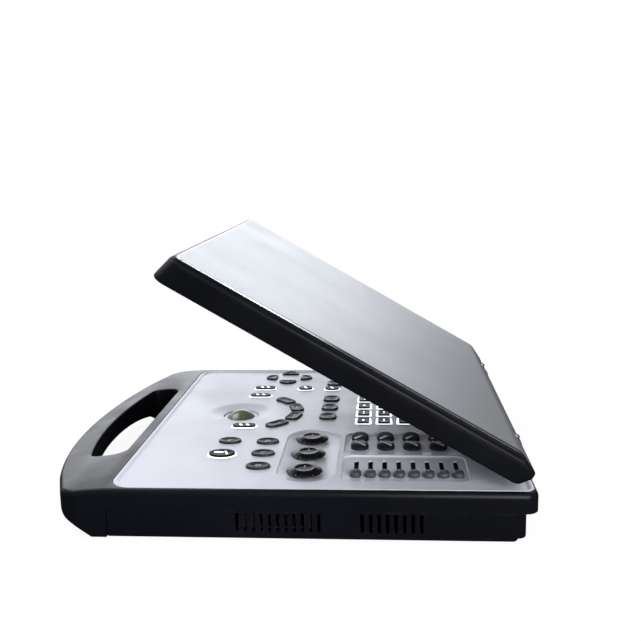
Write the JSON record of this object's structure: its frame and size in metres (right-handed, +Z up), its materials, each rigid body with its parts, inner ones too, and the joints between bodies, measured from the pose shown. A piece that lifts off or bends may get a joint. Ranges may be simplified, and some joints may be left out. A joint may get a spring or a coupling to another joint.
{
  "type": "portable ultrasound scanner",
  "caption": "Clamshell ultrasound scanner: slab base with carrying handle, grey control panel with trackball, knobs, sliders and buttons, and a hinged silver-backed display lid.",
  "frame": {"origin": "middle of the footprint (base with handle), on the table plane under the feet", "axes": "+X is the operator's right, +Y points from the handle to the hinge at the rear, +Z is up"},
  "size_m": [0.33, 0.356, 0.1916],
  "materials": {
    "black_casing": "fine-textured moulded plastic, near black",
    "panel_grey": "painted satin lavender-grey plastic",
    "satin_silver": "satin metallic silver paint",
    "screen": "dark display polariser",
    "rubber": "matt rubber",
    "steel": "plain machined steel",
    "circuit_board": "green solder mask",
    "battery_wrap": "dark wrap",
    "dark_inner_plastic": "dark moulded plastic",
    "gloss_black": "polished black plastic",
    "slider_grey": "blue-grey moulded plastic",
    "ball_olive": "polished olive-grey phenolic ball",
    "backlit_white": "translucent backlit plastic",
    "button_grey": "dark grey moulded plastic"
  },
  "bodies": {
    "base": {"battery_pack": "battery_wrap", "bottom_shell": "black_casing", "control_board": "circuit_board", "control_panel": "panel_grey", "fan_housing": "dark_inner_plastic", "foot_strip_front": "rubber", "foot_strip_rear": "rubber", "hinge_bracket_left": "steel", "hinge_bracket_right": "steel", "keypad_mat": "backlit_white", "main_board": "circuit_board", "probe_socket": "dark_inner_plastic", "rear_io_plate": "steel", "trackball_cup": "dark_inner_plastic", "trackball_ring": "slider_grey", "upper_frame": "black_casing"},
    "lid": {"lid_frame": "black_casing", "lid_cover": "satin_silver", "lcd_module": "screen", "hinge_arm_left": "steel", "hinge_arm_right": "steel"},
    "knob_1": {"knob_1": "gloss_black"},
    "knob_2": {"knob_2": "gloss_black"},
    "knob_3": {"knob_3": "gloss_black"},
    "gain_slider_1": {"gain_slider_1": "slider_grey"},
    "gain_slider_2": {"gain_slider_2": "slider_grey"},
    "gain_slider_3": {"gain_slider_3": "slider_grey"},
    "gain_slider_4": {"gain_slider_4": "slider_grey"},
    "gain_slider_5": {"gain_slider_5": "slider_grey"},
    "gain_slider_6": {"gain_slider_6": "slider_grey"},
    "gain_slider_7": {"gain_slider_7": "slider_grey"},
    "gain_slider_8": {"gain_slider_8": "slider_grey"},
    "rocker_1": {"rocker_1": "button_grey"},
    "rocker_2": {"rocker_2": "button_grey"},
    "rocker_3": {"rocker_3": "button_grey"},
    "rocker_4": {"rocker_4": "button_grey"},
    "trackball": {"trackball": "ball_olive"},
    "fan_impeller": {"fan_impeller": "dark_inner_plastic"},
    "arc_button_1": {"arc_button_1": "button_grey"},
    "arc_button_2": {"arc_button_2": "button_grey"},
    "arc_button_3": {"arc_button_3": "button_grey"},
    "arc_button_4": {"arc_button_4": "button_grey"},
    "cursor_front": {"cursor_front": "button_grey"},
    "cursor_left": {"cursor_left": "button_grey"},
    "cursor_rear": {"cursor_rear": "button_grey"},
    "cursor_right": {"cursor_right": "button_grey"},
    "freeze_button": {"freeze_button": "backlit_white"},
    "lit_button_1": {"lit_button_1": "backlit_white"},
    "lit_button_2": {"lit_button_2": "backlit_white"},
    "lit_button_3": {"lit_button_3": "backlit_white"},
    "lit_button_4": {"lit_button_4": "backlit_white"},
    "lit_button_5": {"lit_button_5": "backlit_white"},
    "menu_button_1": {"menu_button_1": "button_grey"},
    "menu_button_2": {"menu_button_2": "button_grey"},
    "menu_button_3": {"menu_button_3": "button_grey"},
    "menu_button_4": {"menu_button_4": "button_grey"},
    "oval_button_1": {"oval_button_1": "button_grey"},
    "oval_button_2": {"oval_button_2": "button_grey"},
    "oval_button_3": {"oval_button_3": "button_grey"},
    "oval_button_4": {"oval_button_4": "button_grey"}
  },
  "joints": [
    {"name": "lid_hinge", "type": "hinge", "parent": "base", "child": "lid", "pos_m": [0, 0.1714, 0.0465], "axis": [-1, 0, 0], "range_deg": [-30.4, 99.6]},
    {"name": "knob_1_turn", "type": "hinge", "parent": "base", "child": "knob_1", "pos_m": [0.1253, 0.0204, 0.035], "axis": [0, 0, 1], "continuous": true},
    {"name": "knob_2_turn", "type": "hinge", "parent": "base", "child": "knob_2", "pos_m": [0.0905, 0.0204, 0.035], "axis": [0, 0, 1], "continuous": true},
    {"name": "knob_3_turn", "type": "hinge", "parent": "base", "child": "knob_3", "pos_m": [0.0557, 0.0204, 0.035], "axis": [0, 0, 1], "continuous": true},
    {"name": "gain_slider_1_slide", "type": "slide", "parent": "base", "child": "gain_slider_1", "axis": [-1, 0, 0], "range_m": [0, 0.028]},
    {"name": "gain_slider_2_slide", "type": "slide", "parent": "base", "child": "gain_slider_2", "axis": [-1, 0, 0], "range_m": [0, 0.028]},
    {"name": "gain_slider_3_slide", "type": "slide", "parent": "base", "child": "gain_slider_3", "axis": [-1, 0, 0], "range_m": [0, 0.028]},
    {"name": "gain_slider_4_slide", "type": "slide", "parent": "base", "child": "gain_slider_4", "axis": [-1, 0, 0], "range_m": [0, 0.028]},
    {"name": "gain_slider_5_slide", "type": "slide", "parent": "base", "child": "gain_slider_5", "axis": [-1, 0, 0], "range_m": [0, 0.028]},
    {"name": "gain_slider_6_slide", "type": "slide", "parent": "base", "child": "gain_slider_6", "axis": [-1, 0, 0], "range_m": [0, 0.028]},
    {"name": "gain_slider_7_slide", "type": "slide", "parent": "base", "child": "gain_slider_7", "axis": [-1, 0, 0], "range_m": [0, 0.028]},
    {"name": "gain_slider_8_slide", "type": "slide", "parent": "base", "child": "gain_slider_8", "axis": [-1, 0, 0], "range_m": [0, 0.028]},
    {"name": "rocker_1_tilt", "type": "hinge", "parent": "base", "child": "rocker_1", "pos_m": [0.0586, 0.058, 0.031], "axis": [0, 1, 0], "range_deg": [-4, 4]},
    {"name": "rocker_2_tilt", "type": "hinge", "parent": "base", "child": "rocker_2", "pos_m": [0.0586, 0.078, 0.031], "axis": [0, 1, 0], "range_deg": [-4, 4]},
    {"name": "rocker_3_tilt", "type": "hinge", "parent": "base", "child": "rocker_3", "pos_m": [0.0586, 0.098, 0.031], "axis": [0, 1, 0], "range_deg": [-4, 4]},
    {"name": "rocker_4_tilt", "type": "hinge", "parent": "base", "child": "rocker_4", "pos_m": [0.0586, 0.118, 0.031], "axis": [0, 1, 0], "range_deg": [-4, 4]},
    {"name": "trackball_roll", "type": "hinge", "parent": "base", "child": "trackball", "pos_m": [-0.017, -0.048, 0.02132], "axis": [1, 0, 0], "continuous": true},
    {"name": "fan_spin", "type": "hinge", "parent": "base", "child": "fan_impeller", "pos_m": [0.132, 0.0055, 0.012], "axis": [0, 0, 1], "continuous": true},
    {"name": "arc_button_1_press", "type": "slide", "parent": "base", "child": "arc_button_1", "axis": [0, 0, -1], "range_m": [0, 0.0009]},
    {"name": "arc_button_2_press", "type": "slide", "parent": "base", "child": "arc_button_2", "axis": [0, 0, -1], "range_m": [0, 0.0009]},
    {"name": "arc_button_3_press", "type": "slide", "parent": "base", "child": "arc_button_3", "axis": [0, 0, -1], "range_m": [0, 0.0009]},
    {"name": "arc_button_4_press", "type": "slide", "parent": "base", "child": "arc_button_4", "axis": [0, 0, -1], "range_m": [0, 0.0009]},
    {"name": "cursor_front_press", "type": "slide", "parent": "base", "child": "cursor_front", "axis": [0, 0, -1], "range_m": [0, 0.0009]},
    {"name": "cursor_left_press", "type": "slide", "parent": "base", "child": "cursor_left", "axis": [0, 0, -1], "range_m": [0, 0.0009]},
    {"name": "cursor_rear_press", "type": "slide", "parent": "base", "child": "cursor_rear", "axis": [0, 0, -1], "range_m": [0, 0.0009]},
    {"name": "cursor_right_press", "type": "slide", "parent": "base", "child": "cursor_right", "axis": [0, 0, -1], "range_m": [0, 0.0009]},
    {"name": "freeze_button_press", "type": "slide", "parent": "base", "child": "freeze_button", "axis": [0, 0, -1], "range_m": [0, 0.0009]},
    {"name": "lit_button_1_press", "type": "slide", "parent": "base", "child": "lit_button_1", "axis": [0, 0, -1], "range_m": [0, 0.0009]},
    {"name": "lit_button_2_press", "type": "slide", "parent": "base", "child": "lit_button_2", "axis": [0, 0, -1], "range_m": [0, 0.0009]},
    {"name": "lit_button_3_press", "type": "slide", "parent": "base", "child": "lit_button_3", "axis": [0, 0, -1], "range_m": [0, 0.0009]},
    {"name": "lit_button_4_press", "type": "slide", "parent": "base", "child": "lit_button_4", "axis": [0, 0, -1], "range_m": [0, 0.0009]},
    {"name": "lit_button_5_press", "type": "slide", "parent": "base", "child": "lit_button_5", "axis": [0, 0, -1], "range_m": [0, 0.0009]},
    {"name": "menu_button_1_press", "type": "slide", "parent": "base", "child": "menu_button_1", "axis": [0, 0, -1], "range_m": [0, 0.0009]},
    {"name": "menu_button_2_press", "type": "slide", "parent": "base", "child": "menu_button_2", "axis": [0, 0, -1], "range_m": [0, 0.0009]},
    {"name": "menu_button_3_press", "type": "slide", "parent": "base", "child": "menu_button_3", "axis": [0, 0, -1], "range_m": [0, 0.0009]},
    {"name": "menu_button_4_press", "type": "slide", "parent": "base", "child": "menu_button_4", "axis": [0, 0, -1], "range_m": [0, 0.0009]},
    {"name": "oval_button_1_press", "type": "slide", "parent": "base", "child": "oval_button_1", "axis": [0, 0, -1], "range_m": [0, 0.0009]},
    {"name": "oval_button_2_press", "type": "slide", "parent": "base", "child": "oval_button_2", "axis": [0, 0, -1], "range_m": [0, 0.0009]},
    {"name": "oval_button_3_press", "type": "slide", "parent": "base", "child": "oval_button_3", "axis": [0, 0, -1], "range_m": [0, 0.0009]},
    {"name": "oval_button_4_press", "type": "slide", "parent": "base", "child": "oval_button_4", "axis": [0, 0, -1], "range_m": [0, 0.0009]}
  ]
}
